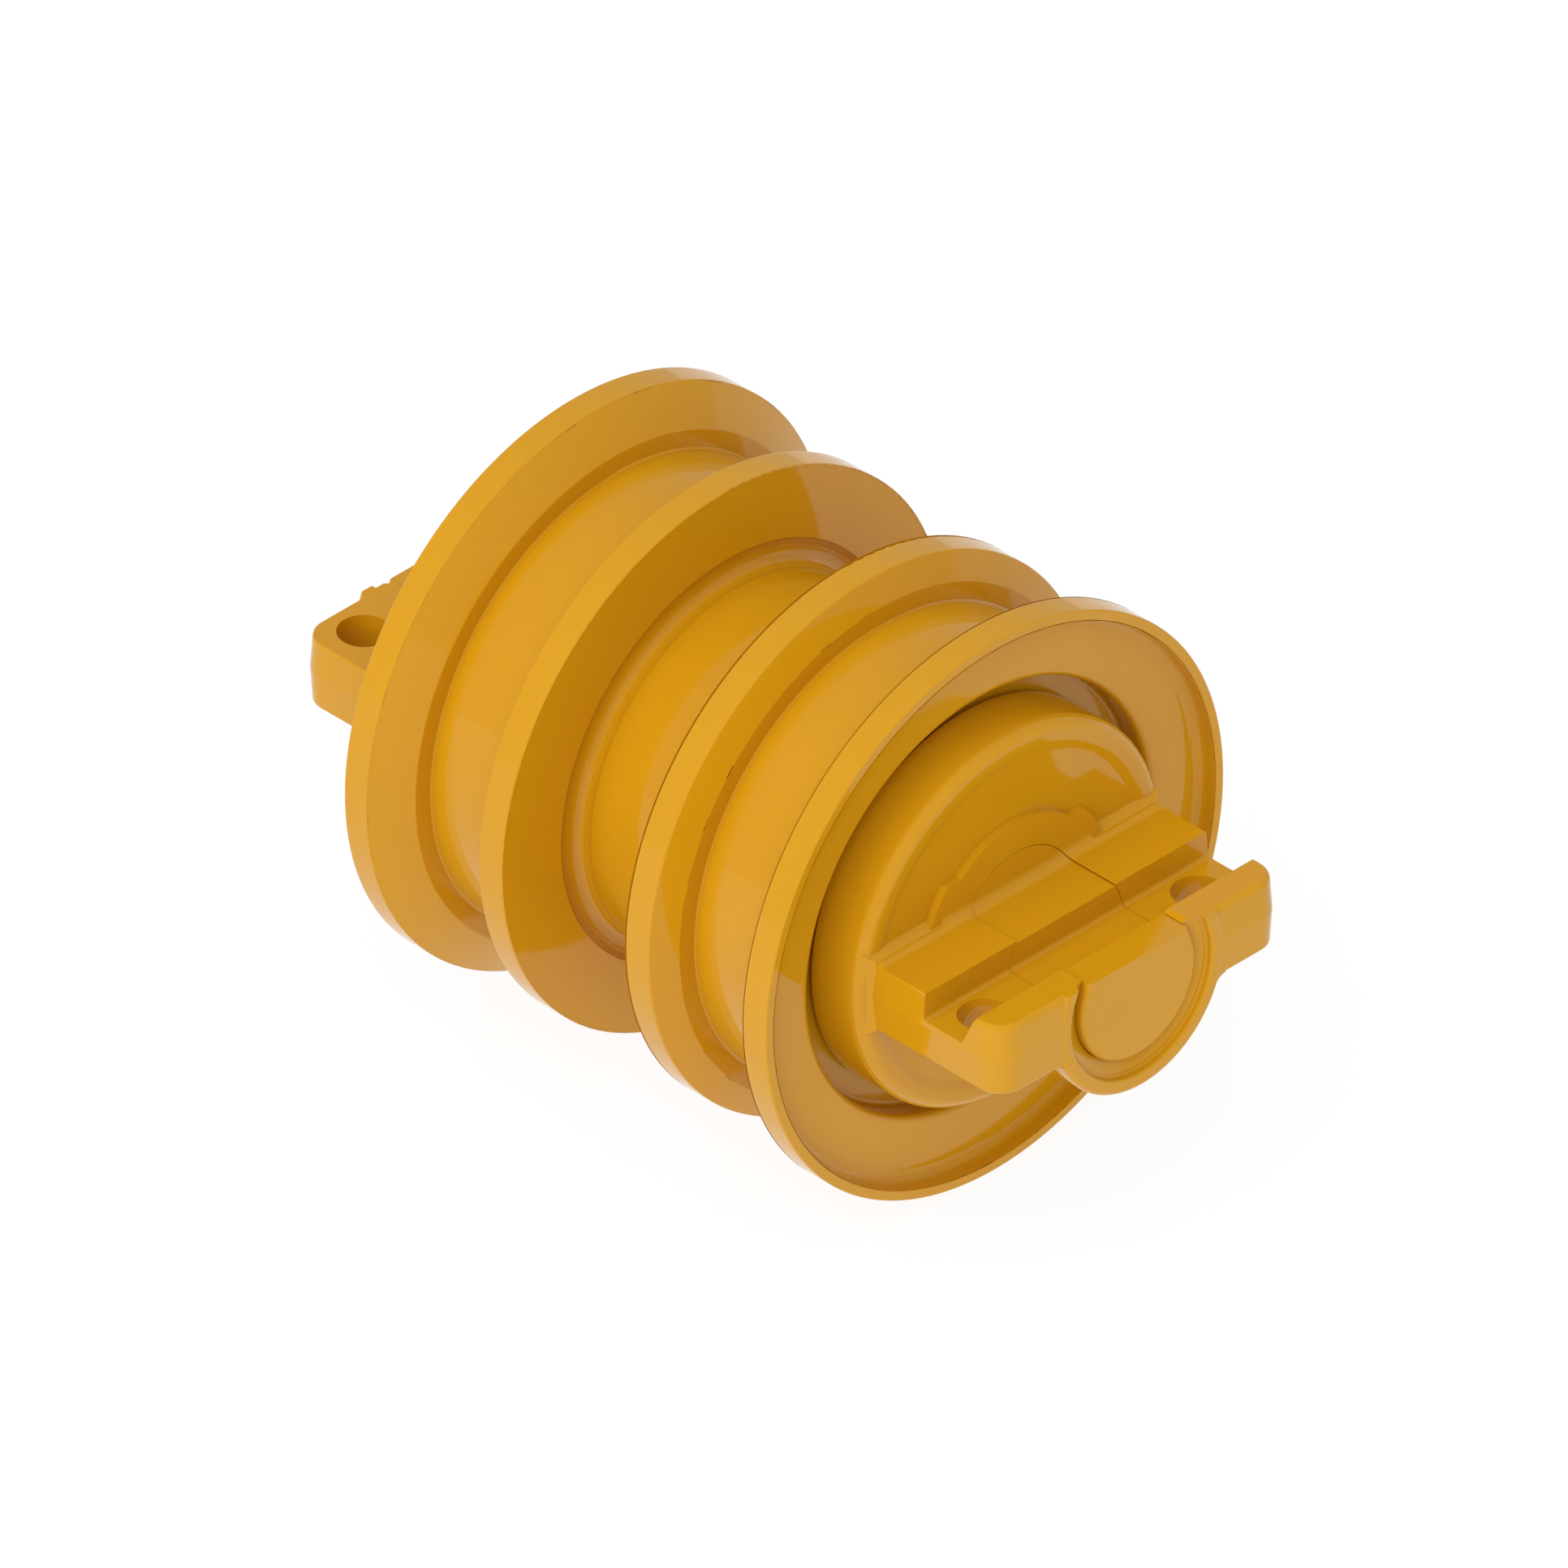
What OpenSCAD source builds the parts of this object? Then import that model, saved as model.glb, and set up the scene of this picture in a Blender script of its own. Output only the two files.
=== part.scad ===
// Track roller with double-flanged treads, plain bearings and two end collars
// that bolt to the track frame. The roller turns about Y, the front end is
// towards -Y, and the origin is the centre of the shell on its axis.

/* [Shell] */
// Diameter of the rail tread
tread_d = 206; // [204:0.5:208]
// Diameter of the two outer flanges
outer_flange_d = 255.5; // [253:0.5:258]
// Diameter of the two inner flanges
inner_flange_d = 245.6; // [243:0.2:248]
// Diameter of the waist between the inner flanges
waist_d = 163; // [162:0.5:165]
// Width over the outer flanges
shell_w = 235.2; // [234:0.2:237]
// Width of an outer flange's rim
outer_rim_w = 12; // [10:0.5:13]
// Distance from the centre to an inner flange's rim
inner_rim_y = 35.2; // [34.5:0.1:36]
// Width of an inner flange's rim
inner_rim_w = 12.3; // [11:0.1:13]
// Diameter of the opening that the collar's disc sits in
opening_d = 190; // [188:0.5:192]

/* [Shaft and bearings] */
// Diameter of the shaft's ends
shaft_end_d = 63.5; // [63:0.1:63.8]
// Diameter of the shaft's bearing journals
journal_d = 70; // [69:0.5:71]
// Diameter of the thrust flange in the middle of the shaft
thrust_d = 92; // [88:1:96]
// Distance from the centre to the shaft's front end
shaft_front = 198.2; // [197:0.1:199]
// Distance from the centre to the shaft's rear end
shaft_rear = 193.4; // [193:0.1:195]
// Radial running clearance of the bushings
run_gap = 0.06; // [0.03:0.01:0.09]
// End gap between the thrust flange and each bushing
end_gap = 0.2; // [0.1:0.05:0.4]

/* [Collars] */
// Diameter of a collar's disc
disc_d = 170.2; // [168:0.2:172]
// Diameter of a collar's hub round the shaft
hub_d = 91.6; // [90:0.2:93]
// Width of a collar across its two arms
arm_w = 159; // [157:0.5:161]
// Distance from the centre to the front collar's outer face
front_face = 200.2; // [199.5:0.1:201]
// Distance from the centre to the rear collar's hub face
rear_face = 194.4; // [194:0.1:195.5]
// How far the rear hub stands out past its arms
rear_hub_step = 2.2; // [1:0.1:3]
// Height of the mounting land above the axis
land_z = 16.3; // [16:0.1:17]
// Height of the front collar's outer bars above the axis
bar_z = 17.6; // [17:0.1:18]
// Height of the front collar's groove floor above the axis
groove_z = 4; // [3:0.5:6]
// Height of the flat on the shaft's ends above the axis
flat_z = 15.5; // [15:0.1:16]

/* [Mounting] */
// Diameter of the mounting bolt holes
bolt_d = 22; // [20:0.5:23]
// Spacing of a collar's two bolt holes
bolt_span = 119; // [117:0.5:121]
// Distance from the centre to the front bolt holes
bolt_front = 171.2; // [170:0.1:172]
// Distance from the centre to the rear bolt holes
bolt_rear = 174.7; // [173:0.1:175.5]

/* [Hidden] */

paint = [0.84, 0.60, 0.14];
bronze = [0.72, 0.52, 0.30];
steel = [0.62, 0.63, 0.65];
rubber = [0.10, 0.10, 0.11];
copper = [0.78, 0.45, 0.28];

turn_fn = 120;
hole_fn = 48;
past = 40;                  // how far a cutter runs past the part

tread_r = tread_d / 2;
outer_r = outer_flange_d / 2;
inner_r = inner_flange_d / 2;
waist_r = waist_d / 2;
opening_r = opening_d / 2;
shell_end = shell_w / 2;
shaft_r = shaft_end_d / 2;
journal_r = journal_d / 2;
thrust_r = thrust_d / 2;
disc_r = disc_d / 2;
hub_r = hub_d / 2;
bolt_r = bolt_d / 2;

// shell
outer_rim_y = shell_end - outer_rim_w - 0.9;    // where the outer flank's line meets the rim
root_inner_y = 53.3;        // tread's end at the inner flange
root_outer_y = 93.9;        // tread's end at the outer flange
root_r = 111.4;             // top of the steps beside the tread
inner_flank_run = 2.9;      // how far an inner flange's centre side leans
recess_floor_y = 109.1;     // ring-shaped floor inside an outer flange
recess_r = outer_r - 4.6;
undercut_r = 6.24;          // round undercut beside the waist
undercut_y = 29;
undercut_mid_r = waist_r + 5.5;
shell_floor_y = 97;
chamber_r = 50;             // oil chamber round the thrust flange

// seals
seal_mid = 97.8;            // plane where the two metal seal rings meet
seal_gap = 0.2;
seal_seat_r = 61;
seal_seat_depth = 12;
seal_bore_floor = seal_mid - seal_seat_depth;
toric_r = 4.4;
toric_mid_r = 56.5;
toric_depth = 7.4;

// bushings
bushing_r = 41;
bushing_flange_r = 49.5;
bushing_flange_w = 5.8;
thrust_half = 13.8;
bushing_start = thrust_half + end_gap;
bushing_end = 83;
bushing_pin_r = 2.5;
bushing_pin_len = 11;
bushing_pin_mid = 45;
bushing_pin_start = bushing_start + 2;

// collars
bore_gap = 0.25;
sleeve_r = 44;
sleeve_y = 86.8;            // shaft shoulder that the collar rests on
disc_inner_y = 100;
disc_lip_r = 71.2;          // raised ring round the fixed seal's seat
disc_face_y = 127;
disc_round = 5.7;
dish_r = 76;                // the disc's face is slightly dished inside this
dish_depth = 1;
wall_y = 129.6;             // machined wall behind the mounting land
wall_fillet = 5.1;
pad_r = 51;
pad_top = 33.6;
groove_y0 = 157.1;
groove_y1 = 178.6;
groove_lean = 0.44;         // the groove's outer wall leans outward
groove_fillet = 2;
arm_bottom = -14.8;
arm_top = bar_z + 0.2;      // the forging's top, just above the machined bars
arm_start = 118;            // the arms begin inside the disc
arm_corner_r = 12.5;
arm_draft = 0.9;
arm_split_z = 1.4;          // height of the forging's parting line
arm_fillet = 3.2;
arm_low_fillet = 1.5;
foot_grow = 3;              // how far the arms spread where they meet the disc
foot_len = 3;
hub_fillet = 5.8;
hub_round = 2.4;
bar_gap = 27.6;             // half width of the shaft's flat between the bars' sloped edges
ring_r = 39;                // shallow ring cut round the shaft's end
ring_depth = 3.6;
ring_fall = 3;              // its floor falls by this towards the shaft
front_ring_r = 37.3;        // where the floor starts to fall
rear_ring_r = 35.2;
rear_ring_fall = 3.8;

// collar pins and O-rings
pin_r = 6;
pin_y = 142;
pin_top = -9;
pin_inset = 1;              // the pin stops short of the hub's underside
oring_y = 116;
oring_sec = 1.25;
oring_groove_depth = 2.35;
oring_groove_w = 4.6;

// oil bores and plug
oil_r = 5;
oil_start = -60;
feed_r = 3.5;               // feed holes down to the bushings
feed_y = 50;
plug_r = 8;
plug_len = 12;
plug_hole_len = 14;
plug_head_r = 12;
plug_head_w = 3.6;
plug_seat = 5;
plug_key_r = 5.5;           // hexagon socket, across its corners
washer_w = 1.2;

// ---- helpers ----

// turns a profile of [radius, y] points about the Y axis
module spin() rotate([-90, 0, 0]) rotate_extrude($fn = turn_fn) children();

// extrudes a profile of [y, z] points along X
module across(width) rotate([90, 0, 90]) linear_extrude(height = width, center = true) children();

// extrudes a profile of [x, z] points along Y, from y0 to y1
module along(y0, y1) translate([0, y1, 0]) rotate([90, 0, 0]) linear_extrude(height = y1 - y0) children();

// cylinder of radius r about a line parallel to Y through [x, z], from y0 to y1
module rod(r, y0, y1, x = 0, z = 0) along(y0, y1) translate([x, z]) circle(r, $fn = hole_fn);

// sliver between the corner p and a round of radius r, where a and b are the corner's neighbours
module sliver(a, p, b, r) {
    u = (a - p) / norm(a - p);
    v = (b - p) / norm(b - p);
    half = acos(u * v) / 2;
    reach = r / tan(half);
    difference() {
        polygon([p, p + reach * u, p + reach * v]);
        translate(p + (u + v) / norm(u + v) * r / sin(half)) circle(r, $fn = hole_fn);
    }
}

// outline through a list of [x, y, round] corners, taken anticlockwise; a round of 0 stays sharp
module rounded(corners) {
    n = len(corners);
    p = [for (c = corners) [c[0], c[1]]];
    bend = [for (i = [0 : n - 1]) cross(p[i] - p[(i + n - 1) % n], p[(i + 1) % n] - p[i])];
    difference() {
        union() {
            polygon(p);
            for (i = [0 : n - 1])
                if (corners[i][2] > 0 && bend[i] < 0)
                    sliver(p[(i + n - 1) % n], p[i], p[(i + 1) % n], corners[i][2]);
        }
        for (i = [0 : n - 1])
            if (corners[i][2] > 0 && bend[i] > 0)
                sliver(p[(i + n - 1) % n], p[i], p[(i + 1) % n], corners[i][2]);
    }
}

// front parts are mirror images of the rear ones
module front() mirror([0, 1, 0]) children();

// ---- roller shell ----

// one half's section, as [radius, y, round] corners
module shell_profile() difference() {
    rounded([
        [chamber_r, 0, 0], [waist_r, 0, 0], [waist_r, inner_rim_y - 1.2 - inner_flank_run, 0],
        [inner_r, inner_rim_y - 1.2, 1.5], [inner_r, inner_rim_y + inner_rim_w - 0.2, 1],
        [root_r, root_inner_y, 1.2], [tread_r, root_inner_y, 0.8],
        [tread_r, root_outer_y, 0.8], [root_r, root_outer_y, 1.2],
        [outer_r, outer_rim_y, 2], [outer_r, shell_end, 0.8],
        [recess_r, shell_end, 0.8], [recess_r - 0.6, recess_floor_y, 4.6], [opening_r, recess_floor_y, 3],
        [opening_r, shell_floor_y, 1.5], [seal_seat_r, shell_floor_y, 1],
        [seal_seat_r, seal_bore_floor, 1.5], [bushing_r, seal_bore_floor, 0.8],
        [bushing_r, bushing_start + bushing_flange_w, 0],
        [chamber_r, bushing_start + bushing_flange_w, 0]]);
    translate([undercut_mid_r, undercut_y]) circle(undercut_r, $fn = hole_fn);
}

module shell_half() color(paint) difference() {
    spin() shell_profile();
    bushing_pin_body();
}

module shell_half_rear() shell_half();
module shell_half_front() front() shell_half();

// ---- bushings ----

module bushing_pin_body()
    rod(bushing_pin_r, bushing_pin_start, bushing_pin_start + bushing_pin_len, 0, bushing_pin_mid);

module bushing() {
    flange_end = bushing_start + bushing_flange_w;
    inside = journal_r + run_gap;
    color(bronze) difference() {
        spin() rounded([
            [inside, bushing_start, 0.8], [bushing_flange_r, bushing_start, 0],
            [bushing_flange_r, flange_end, 0], [bushing_r, flange_end, 0],
            [bushing_r, bushing_end, 1], [inside, bushing_end, 0.8]]);
        bushing_pin_body();
    }
}

module bushing_rear() bushing();
module bushing_front() front() bushing();

module bushing_pin_rear() color(steel) bushing_pin_body();
module bushing_pin_front() front() bushing_pin_rear();

// ---- floating seals: two metal rings face to face, each pressed by a rubber toric ring ----

// a depth behind the seal face, towards the ring's own seat: side is 1 away from the roller's centre
function seal_y(side, depth) = seal_mid + side * (seal_gap / 2 + depth);

module seal_ring_profile(side) polygon([
    [50, seal_y(side, 0)], [58.5, seal_y(side, 0)], [58.5, seal_y(side, 2.7)], [53.5, seal_y(side, 2.7)],
    [50.5, seal_y(side, 9.2)], [47, seal_y(side, 9.2)], [47, seal_y(side, 1.2)]]);

module toric_profile(side)
    translate([toric_mid_r, seal_mid + side * toric_depth]) circle(toric_r, $fn = hole_fn);

module turning_seal_ring_rear() color(steel) spin() seal_ring_profile(-1);
module turning_seal_ring_front() front() turning_seal_ring_rear();
module fixed_seal_ring_rear() color(steel) spin() seal_ring_profile(1);
module fixed_seal_ring_front() front() fixed_seal_ring_rear();
module turning_toric_rear() color(rubber) spin() toric_profile(-1);
module turning_toric_front() front() turning_toric_rear();
module fixed_toric_rear() color(rubber) spin() toric_profile(1);
module fixed_toric_front() front() fixed_toric_rear();

// ---- machining that the collars share with the shaft ----

// everything above the mounting land, out from the wall
module land_cut(top_z) across(arm_w + past) rounded([
    [wall_y, top_z, wall_fillet], [rear_face + past, top_z, 0],
    [rear_face + past, pad_top + past, 0], [wall_y, pad_top + past, 0]]);

// the same with a groove across it, and the bars outside the groove left at bar_top
module grooved_cut(top_z, bar_top) across(arm_w + past) rounded([
    [wall_y, top_z, wall_fillet], [groove_y0, top_z, 0], [groove_y0, groove_z, groove_fillet],
    [groove_y1, groove_z, 0], [groove_y1 + groove_lean * (bar_top - groove_z), bar_top, 0],
    [front_face + past, bar_top, 0], [front_face + past, pad_top + past, 0], [wall_y, pad_top + past, 0]]);

module pin_bore() translate([0, pin_y, pin_top - past]) cylinder(h = past, r = pin_r, $fn = hole_fn);

// ---- shaft ----

module shaft_blank() spin() rounded([
    [0, -shaft_front, 0], [shaft_r, -shaft_front, 2.2], [shaft_r, -sleeve_y, 0],
    [journal_r, -sleeve_y, 0.5], [journal_r, -thrust_half, 0],
    [thrust_r, -thrust_half, 1], [thrust_r, thrust_half, 1],
    [journal_r, thrust_half, 0], [journal_r, sleeve_y, 0.5], [shaft_r, sleeve_y, 0],
    [shaft_r, shaft_rear, 2.2], [0, shaft_rear, 0]]);

module oring_groove() spin()
    translate([shaft_r - oring_groove_depth, oring_y - oring_groove_w / 2])
        square([2 * oring_groove_depth, oring_groove_w]);

module oil_bores() {
    rod(oil_r, oil_start, shaft_rear + past);
    rod(plug_r, shaft_rear - plug_seat - plug_hole_len, shaft_rear + past);
    rod(plug_head_r + 0.5, shaft_rear - plug_seat, shaft_rear + past);
    for (y = [-feed_y, feed_y])
        translate([0, y, -past]) cylinder(h = past, r = feed_r, $fn = hole_fn);
}

module shaft() color(paint) difference() {
    shaft_blank();
    land_cut(flat_z);
    front() grooved_cut(flat_z, flat_z);
    oring_groove();
    front() oring_groove();
    pin_bore();
    front() pin_bore();
    oil_bores();
}

module oil_plug() {
    seat = shaft_rear - plug_seat;
    head_end = seat + washer_w + plug_head_w;
    color(steel) difference() {
        union() {
            rod(plug_r, seat - plug_len, seat + washer_w + 1);
            rod(plug_head_r, seat + washer_w, head_end);
        }
        translate([0, seat - 1, 0]) rotate([-90, 0, 0]) cylinder(h = past, r = plug_key_r, $fn = 6);
    }
}

module oil_plug_washer() {
    seat = shaft_rear - plug_seat;
    color(copper) difference() {
        rod(plug_head_r - 0.3, seat, seat + washer_w);
        rod(plug_r + 0.2, seat - 1, seat + washer_w + 1);
    }
}

// ---- collars ----

module collar_pin_rear() color(steel)
    translate([0, pin_y, pin_inset - hub_r])
        cylinder(h = hub_r - pin_inset + pin_top, r = pin_r, $fn = hole_fn);
module collar_pin_front() front() collar_pin_rear();

module collar_oring_rear() color(rubber) spin()
    translate([shaft_r - oring_groove_depth + oring_sec + 0.05, oring_y]) circle(oring_sec, $fn = hole_fn);
module collar_oring_front() front() collar_oring_rear();

// disc that closes the roller's end, with the fixed seal's seat on its inner side
module disc() spin() rounded([
    [0, sleeve_y, 0], [sleeve_r, sleeve_y, 1],
    [sleeve_r, seal_mid + seal_seat_depth, 1], [seal_seat_r, seal_mid + seal_seat_depth, 1.5],
    [seal_seat_r, seal_mid + 0.8, 1], [disc_lip_r, seal_mid + 0.8, 0.6], [disc_lip_r, disc_inner_y, 0],
    [disc_r, disc_inner_y, 0.6], [disc_r, disc_face_y, disc_round],
    [dish_r, disc_face_y, 6], [dish_r - 4, disc_face_y - dish_depth, 6], [0, disc_face_y - dish_depth, 0]]);

// section of an arm's wall as [distance out from the corner's centre, z, round], drafted up and down from
// the parting line to upright bands that the rounds touch, and reaching back inwards by reach
module arm_section(reach) {
    side = arm_corner_r - arm_draft;
    rounded([
        [-reach, arm_bottom, 0], [side, arm_bottom, arm_low_fillet], [side, arm_bottom + arm_low_fillet, 0],
        [arm_corner_r, arm_split_z, 0], [side, arm_top - arm_fillet, 0], [side, arm_top, arm_fillet],
        [-reach, arm_top, 0]]);
}

// both arms: a block between the corners, with a strip along each side and a turned corner at each end
module arms(arm_y) {
    corner_x = arm_w / 2 - arm_corner_r;
    corner_y = arm_y - arm_corner_r;
    across(2 * corner_x) translate([corner_y, 0]) arm_section(corner_y - arm_start);
    for (s = [0, 1]) mirror([s, 0, 0]) {
        along(arm_start, corner_y) translate([corner_x, 0]) arm_section(1);
        translate([corner_x, corner_y, 0]) rotate_extrude(angle = 90, $fn = hole_fn) arm_section(0);
    }
}

// foot that eases the arms into the disc
module arm_foot() hull() {
    foot_section(disc_face_y - 1.5, foot_grow);
    foot_section(disc_face_y + foot_len, 0);
}

module foot_section(y, grow) along(y, y + 0.1)
    translate([-arm_w / 2 + arm_draft - grow, arm_bottom - grow])
        square([arm_w - 2 * arm_draft + 2 * grow, bar_z - arm_bottom + 2 * grow]);

// fills the inside corner between an arm's underside and the hub, up to a round that touches both
module hub_root(y1) along(disc_face_y - 2, y1) for (s = [0, 1]) mirror([s, 0]) {
    reach = hub_r + hub_fillet;
    mid_z = arm_bottom - hub_fillet;
    mid_x = sqrt(reach * reach - mid_z * mid_z);
    touch = [mid_x, mid_z] * hub_r / reach;
    difference() {
        polygon([[mid_x, arm_bottom + 2], [mid_x, mid_z], touch, touch * 0.9, [mid_x * 0.7, arm_bottom + 2]]);
        translate([mid_x, mid_z]) circle(hub_fillet, $fn = hole_fn);
    }
}

module hub(face_y) spin() rounded([
    [0, arm_start, 0], [hub_r, arm_start, 0], [hub_r, face_y, hub_round], [0, face_y, 0]]);

// boss behind the mounting land, machined flat on its outer side
module pad() intersection() {
    rod(pad_r, arm_start, wall_y);
    translate([-pad_r, arm_start, 0]) cube([2 * pad_r, wall_y, pad_top]);
}

module collar_blank(face_y, arm_y) {
    disc();
    hub(face_y);
    arms(arm_y);
    arm_foot();
    hub_root(arm_y - 1.2);
    pad();
}

module collar_bores(bolt_y) {
    spin() translate([0, sleeve_y - past]) square([shaft_r + bore_gap, front_face + past]);
    for (s = [-1, 1])
        translate([s * bolt_span / 2, bolt_y, arm_bottom - past])
            cylinder(h = 3 * past, r = bolt_r, $fn = hole_fn);
    pin_bore();
}

// ring cut round the shaft's end in a collar's face, with its floor falling towards the shaft
module ring_cut(face_y, floor_r, floor_y, fall) {
    ease = 0.35 * (face_y - floor_y);
    spin() rounded([
        [0, floor_y - fall, 0], [shaft_r - 1, floor_y - fall, 0], [floor_r, floor_y, 0],
        [ring_r, floor_y, ease], [ring_r, face_y, ease], [ring_r + 2, face_y, 0],
        [ring_r + 2, face_y + past, 0], [0, face_y + past, 0]]);
}

// sloped inner edges of the front collar's bars, beside the shaft's flat
module bar_chamfer() along(groove_y1 - 2, front_face + past) polygon([
    [-bar_gap, flat_z], [bar_gap, flat_z],
    [bar_gap + past, flat_z + past], [-bar_gap - past, flat_z + past]]);

module collar_front() color(paint) front() difference() {
    collar_blank(front_face, front_face);
    grooved_cut(land_z, bar_z);
    bar_chamfer();
    ring_cut(front_face, front_ring_r, front_face - ring_depth, ring_fall);
    collar_bores(bolt_front);
}

module collar_rear() color(paint) difference() {
    collar_blank(rear_face, rear_face - rear_hub_step);
    land_cut(land_z);
    ring_cut(rear_face, rear_ring_r, rear_face - rear_hub_step, rear_ring_fall);
    collar_bores(bolt_rear);
}

shell_half_front();
shell_half_rear();
bushing_front();
bushing_rear();
bushing_pin_front();
bushing_pin_rear();
turning_seal_ring_front();
turning_seal_ring_rear();
turning_toric_front();
turning_toric_rear();
shaft();
collar_front();
collar_rear();
collar_pin_front();
collar_pin_rear();
collar_oring_front();
collar_oring_rear();
fixed_seal_ring_front();
fixed_seal_ring_rear();
fixed_toric_front();
fixed_toric_rear();
oil_plug();
oil_plug_washer();
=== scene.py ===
import math

import bpy
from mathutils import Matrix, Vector


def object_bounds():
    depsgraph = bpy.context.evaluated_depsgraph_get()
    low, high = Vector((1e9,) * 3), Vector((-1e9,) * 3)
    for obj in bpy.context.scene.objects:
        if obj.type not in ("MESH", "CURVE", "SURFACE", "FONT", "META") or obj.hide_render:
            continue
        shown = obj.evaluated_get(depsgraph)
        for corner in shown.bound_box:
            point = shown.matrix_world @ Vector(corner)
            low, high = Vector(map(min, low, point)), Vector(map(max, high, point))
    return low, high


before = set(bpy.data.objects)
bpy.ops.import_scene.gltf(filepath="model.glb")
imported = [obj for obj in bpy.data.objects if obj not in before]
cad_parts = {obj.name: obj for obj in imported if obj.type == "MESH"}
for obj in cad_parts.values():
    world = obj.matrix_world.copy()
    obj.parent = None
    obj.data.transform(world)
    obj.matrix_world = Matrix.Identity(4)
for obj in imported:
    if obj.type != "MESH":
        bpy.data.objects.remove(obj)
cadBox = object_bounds()
scene = bpy.context.scene

# a track roller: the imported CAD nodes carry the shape, and this script gives each one its finish

view = {
    "azimuth": -45.0,  # degrees, 0 looks along +Y
    "elevation": 35.264,  # the true isometric angle
    "span": 0.61824,  # metres across the frame
    "distance": 2.0,
}


# the unit vector from the part towards something at this compass angle and height, in degrees
def direction(azimuth, elevation):
    a, e = math.radians(azimuth), math.radians(elevation)
    return Vector((math.sin(a) * math.cos(e), -math.cos(a) * math.cos(e), math.sin(e)))


def makeCamera():
    data = bpy.data.cameras.new("camera")
    data.type = "ORTHO"
    data.ortho_scale = view["span"]
    camera = bpy.data.objects.new("camera", data)
    scene.collection.objects.link(camera)
    back = direction(view["azimuth"], view["elevation"])
    camera.location = back * view["distance"]
    camera.rotation_mode = "QUATERNION"
    camera.rotation_quaternion = (-back).to_track_quat("-Z", "Y")
    scene.camera = camera


makeCamera()
print("camera made")

studio = {
    "skyStrength": 0.66,
    "keyStrength": 1.85,
    "keyAzimuth": -74.0,
    "keyElevation": 44.0,
    "keySpread": 70.0,  # degrees across, so its shadows are soft
    "floorSize": 40.0,
    "floorColour": (0.12, 0.12, 0.12, 1.0),
    "floorGlow": 0.9,
    "white": (1.0, 1.0, 1.0, 1.0),
}


def makeLight():
    world = bpy.data.worlds.new("studio")
    world.use_nodes = True
    background = world.node_tree.nodes["Background"]
    background.inputs["Color"].default_value = studio["white"]
    background.inputs["Strength"].default_value = studio["skyStrength"]
    scene.world = world
    key = bpy.data.lights.new("key", "SUN")
    key.energy = studio["keyStrength"]
    key.angle = math.radians(studio["keySpread"])
    lamp = bpy.data.objects.new("key", key)
    scene.collection.objects.link(lamp)
    lamp.rotation_mode = "QUATERNION"
    toLamp = direction(studio["keyAzimuth"], studio["keyElevation"])
    lamp.rotation_quaternion = (-toLamp).to_track_quat("-Z", "Y")
    lamp.visible_glossy = False  # the enamel mirrors the plain sky and floor only
    scene.view_settings.view_transform = "Standard"


# a pale floor that glows, level with the lowest point of the part
def makeFloor():
    half = studio["floorSize"] / 2
    height = cadBox[0].z
    corners = [(x, y, height) for x, y in ((-half, -half), (half, -half), (half, half), (-half, half))]
    mesh = bpy.data.meshes.new("floor")
    mesh.from_pydata(corners, [], [(0, 1, 2, 3)])
    floor = bpy.data.objects.new("floor", mesh)
    scene.collection.objects.link(floor)
    material = bpy.data.materials.new("floor")
    material.use_nodes = True
    shader = material.node_tree.nodes["Principled BSDF"]
    shader.inputs["Base Color"].default_value = studio["floorColour"]
    shader.inputs["Roughness"].default_value = 1.0
    shader.inputs["Specular IOR Level"].default_value = 0.0
    shader.inputs["Emission Color"].default_value = studio["white"]
    shader.inputs["Emission Strength"].default_value = studio["floorGlow"]
    mesh.materials.append(material)


makeLight()
makeFloor()
print("light and floor made")


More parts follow.
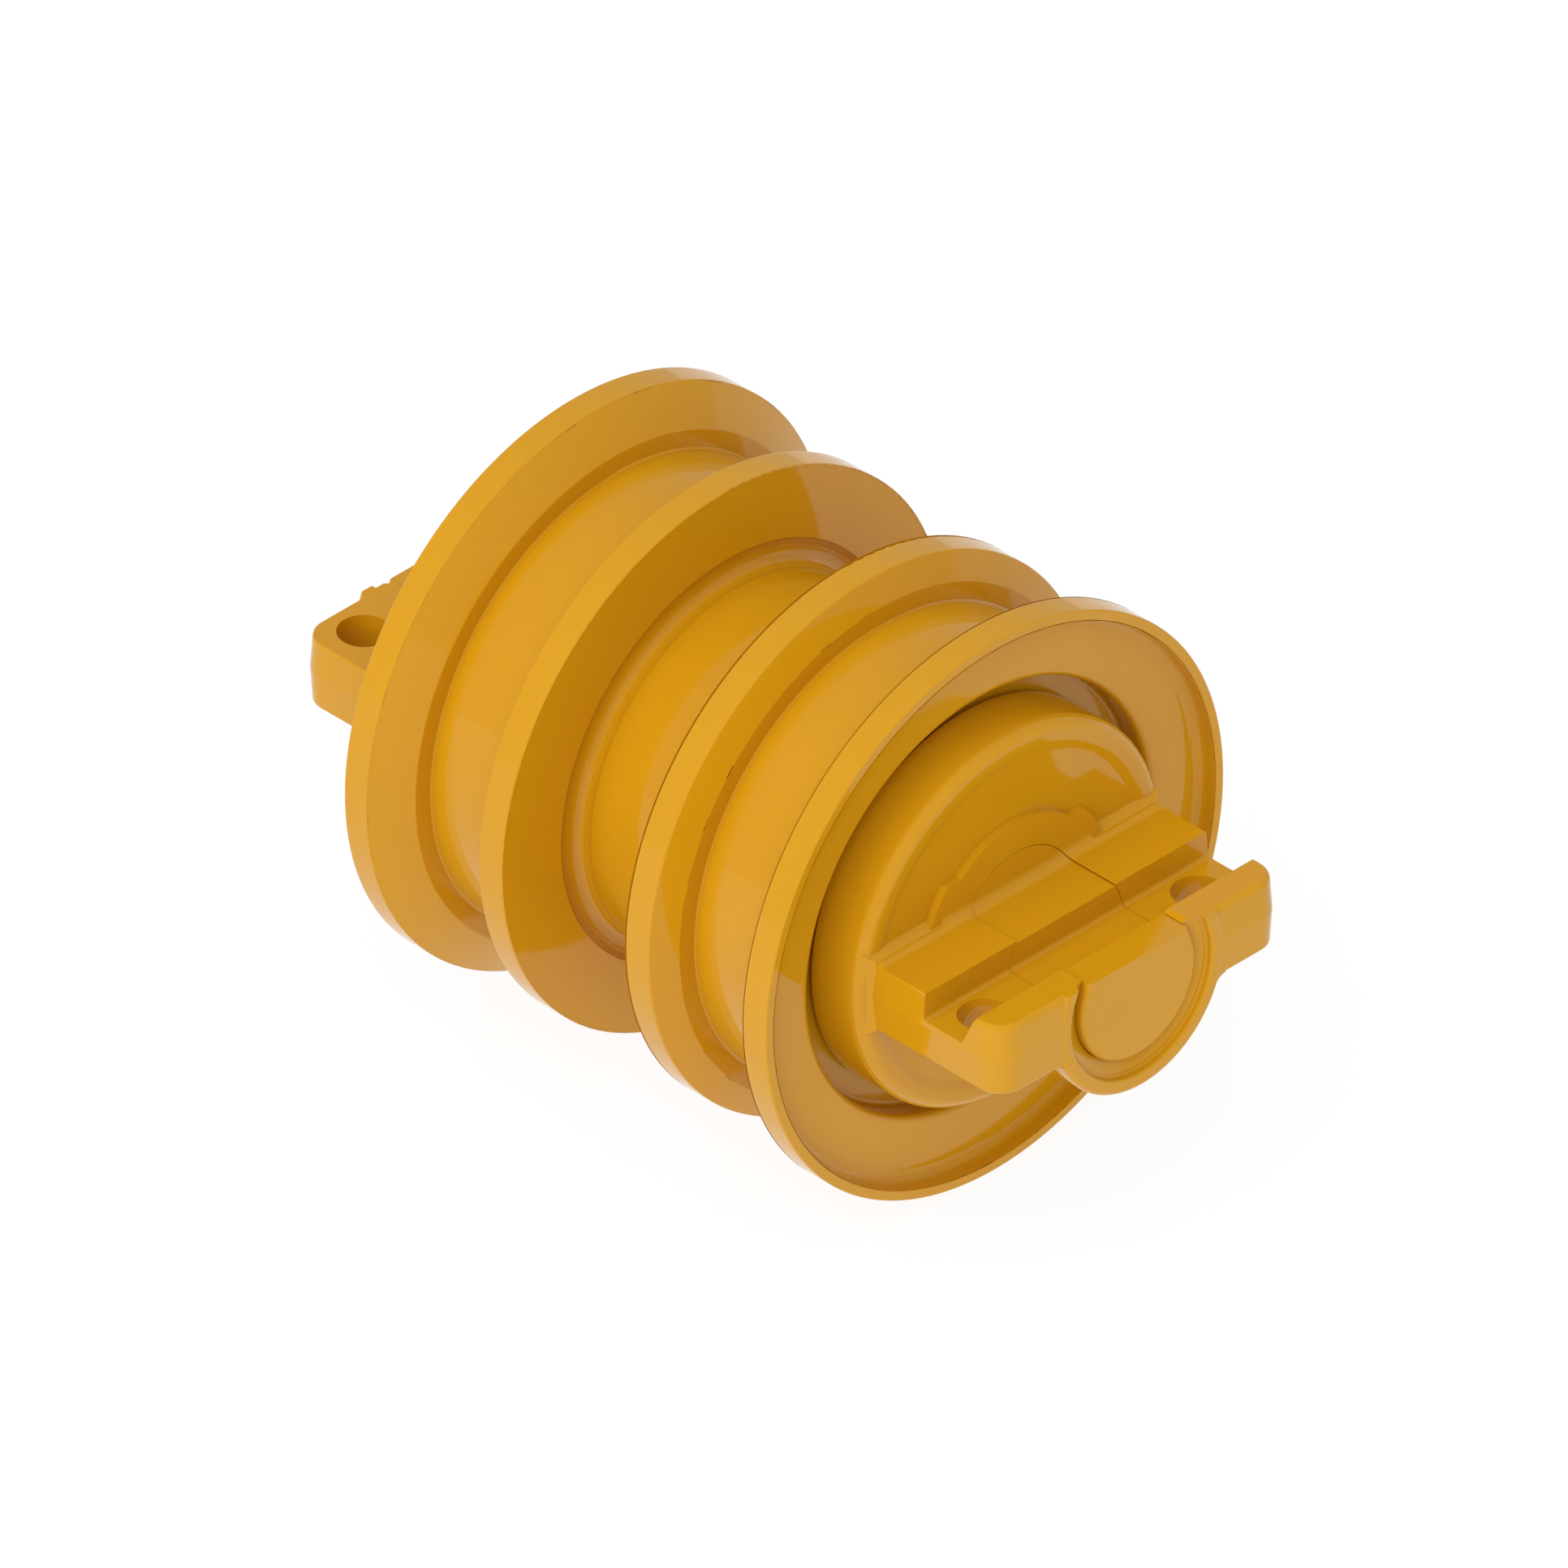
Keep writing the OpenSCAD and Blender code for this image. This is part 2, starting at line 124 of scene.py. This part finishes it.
class Wire:
    # an output socket in a material's node tree, joined up by Python's own operators
    def __init__(self, tree, socket=None):
        self.tree = tree
        self.socket = socket

    # a new node: its settings come first, then the values or wires of its sockets
    def node(self, kind, settings=None, values=None, output=0):
        made = self.tree.nodes.new("ShaderNode" + kind)
        for name, value in (settings or {}).items():
            setattr(made, name, value)
        for name, value in (values or {}).items():
            if isinstance(value, Wire):
                self.tree.links.new(value.socket, made.inputs[name])
            else:
                made.inputs[name].default_value = value
        return Wire(self.tree, made.outputs[output])

    def math(self, operation, first, second=0.0):
        return self.node("Math", {"operation": operation}, {0: first, 1: second})

    def __add__(self, other):
        return self.math("ADD", self, other)

    def __radd__(self, other):
        return self.math("ADD", other, self)

    def __sub__(self, other):
        return self.math("SUBTRACT", self, other)

    def __rsub__(self, other):
        return self.math("SUBTRACT", other, self)

    def __mul__(self, other):
        return self.math("MULTIPLY", self, other)

    def __rmul__(self, other):
        return self.math("MULTIPLY", other, self)

    # where this value runs from low to high, 0 to 1
    def between(self, low, high):
        return self.node("MapRange", None, {"Value": self, "From Min": low, "From Max": high})

    # noise from -1 to 1 with features about size metres across, in the place that this wire gives
    def noise(self, size, detail=2.0):
        made = self.node("TexNoise", None, {"Vector": self, "Scale": 1.0 / size, "Detail": detail})
        return (made - 0.5) * 2.0

    # a colour part of the way, by this value, from one colour to another
    def blend(self, start, end):
        # sockets 6 and 7, and output 2, are the ones for colours
        return self.node("Mix", {"data_type": "RGBA"}, {0: self, 6: rgba(start), 7: rgba(end)}, output=2)

    # a normal for the surface that this value raises by up to height metres
    def relief(self, height):
        return self.node("Bump", None, {"Height": self, "Distance": height})

    def split(self):
        outputs = self.node("SeparateXYZ", None, {0: self}).socket.node.outputs
        return [Wire(self.tree, outputs[name]) for name in ("X", "Y", "Z")]

    # how far this place is from the roller's axis, which is the Y axis
    def fromAxis(self):
        across = self.node("VectorMath", {"operation": "MULTIPLY"}, {0: self, 1: (1.0, 0.0, 1.0)})
        return self.node("VectorMath", {"operation": "LENGTH"}, {0: across}, output="Value")


def rgba(colour):
    return (*colour, 1.0)


# a material whose fixed sockets are set here; makeFeed gives the wires of what varies over the surface
def finishMaterial(name, constants, makeFeed):
    material = bpy.data.materials.new(name)
    material.use_nodes = True
    tree = material.node_tree
    shader = tree.nodes["Principled BSDF"]
    for socket, value in constants.items():
        shader.inputs[socket].default_value = value
    place = Wire(tree).node("TexCoord", output="Object")
    for socket, wire in makeFeed(place).items():
        tree.links.new(wire.socket, shader.inputs[socket])
    return material


def dress(names, material):
    for name in names:
        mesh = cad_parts[name].data
        mesh.materials.clear()
        mesh.materials.append(material)


# glossy enamel on everything that is painted
paint = {
    "colour": (0.62, 0.298, 0.006),
    "deep": (0.56, 0.255, 0.004),  # where the coat is thicker
    "coat": 0.3,  # how thick it is on average, from 0 to 1
    "patchSize": 0.07,
    "patchDetail": 3.0,
    "patchDepth": 0.35,
    "patchRough": 0.015,
    "streaksPerPatch": 9,
    "streakDepth": 0.15,
    "streakRough": 0.01,
    "peelSize": 0.0016,  # orange peel
    "peelDetail": 1.0,
    "peelHeight": 0.000003,
    "roughness": 0.07,
    "ior": 1.36,
}


def paintFeed(place):
    patches = place.noise(paint["patchSize"], paint["patchDetail"])
    streaks = place.noise(paint["patchSize"] / paint["streaksPerPatch"])
    depth = (patches * paint["patchDepth"] + streaks * paint["streakDepth"] + paint["coat"]).between(0.0, 1.0)
    return {
        "Base Color": depth.blend(paint["colour"], paint["deep"]),
        "Roughness": patches * paint["patchRough"] + streaks * paint["streakRough"] + paint["roughness"],
        "Normal": place.noise(paint["peelSize"], paint["peelDetail"]).relief(paint["peelHeight"]),
    }


painted = finishMaterial("yellowEnamel", {"IOR": paint["ior"]}, paintFeed)
dress(["shell_half_front", "shell_half_rear", "collar_front", "collar_rear", "shaft"], painted)
print("paint on")

# bare metals inside; pitch is from ring to ring of what the lathe left
turned = {
    "steel": {"colour": (0.50, 0.50, 0.51), "shade": (0.38, 0.38, 0.39), "roughness": 0.22, "pitch": 0.0006},
    "bronze": {"colour": (0.58, 0.36, 0.15), "shade": (0.45, 0.25, 0.09), "roughness": 0.28, "pitch": 0.0009},
    "copper": {"colour": (0.72, 0.34, 0.18), "shade": (0.52, 0.21, 0.11), "roughness": 0.30, "pitch": 0.0007},
}
lathe = {
    "ringHeight": 0.01,  # of the pitch
    "wanderSize": 0.02,
    "stainSize": 0.012,
    "stainDetail": 4.0,
    "stainFrom": -0.6,
    "stainFull": 0.9,
    "stainRough": 0.12,
}


# fine rings, along the roller's axis on round faces and outwards on flat ones
def turnedFeed(metal):
    def feed(place):
        along = place.split()[1]
        wander = place.noise(lathe["wanderSize"])
        turns = (place.fromAxis() + along) * (2 * math.pi / metal["pitch"])
        rings = place.math("SINE", turns + wander)
        stain = place.noise(lathe["stainSize"], lathe["stainDetail"]).between(lathe["stainFrom"], lathe["stainFull"])
        return {
            "Base Color": stain.blend(metal["colour"], metal["shade"]),
            "Roughness": stain * lathe["stainRough"] + metal["roughness"],
            "Normal": rings.relief(metal["pitch"] * lathe["ringHeight"]),
        }
    return feed


turnedNodes = {
    "steel": ["turning_seal_ring_front", "turning_seal_ring_rear", "fixed_seal_ring_front",
              "fixed_seal_ring_rear", "bushing_pin_front", "bushing_pin_rear", "collar_pin_front",
              "collar_pin_rear", "oil_plug"],
    "bronze": ["bushing_front", "bushing_rear"],
    "copper": ["oil_plug_washer"],
}
for name, metal in turned.items():
    dress(turnedNodes[name], finishMaterial("turned" + name.title(), {"Metallic": 1.0}, turnedFeed(metal)))
print("bare metals on")

# black rubber with a grey bloom, on the toric rings and O-rings
seal = {
    "colour": (0.012, 0.012, 0.013),
    "bloom": (0.045, 0.044, 0.042),
    "bloomSize": 0.009,
    "bloomDetail": 3.0,
    "bloomFrom": -0.2,
    "bloomFull": 1.0,
    "bloomRough": 0.2,
    "roughness": 0.55,
    "specular": 0.4,
    "grain": 0.0008,
    "grainDetail": 3.0,
    "grainHeight": 0.00003,
}


def sealFeed(place):
    bloom = place.noise(seal["bloomSize"], seal["bloomDetail"]).between(seal["bloomFrom"], seal["bloomFull"])
    return {
        "Base Color": bloom.blend(seal["colour"], seal["bloom"]),
        "Roughness": bloom * seal["bloomRough"] + seal["roughness"],
        "Normal": place.noise(seal["grain"], seal["grainDetail"]).relief(seal["grainHeight"]),
    }


rubber = finishMaterial("sealRubber", {"Specular IOR Level": seal["specular"]}, sealFeed)
dress([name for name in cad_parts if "toric" in name or "oring" in name], rubber)
print("rubber on")
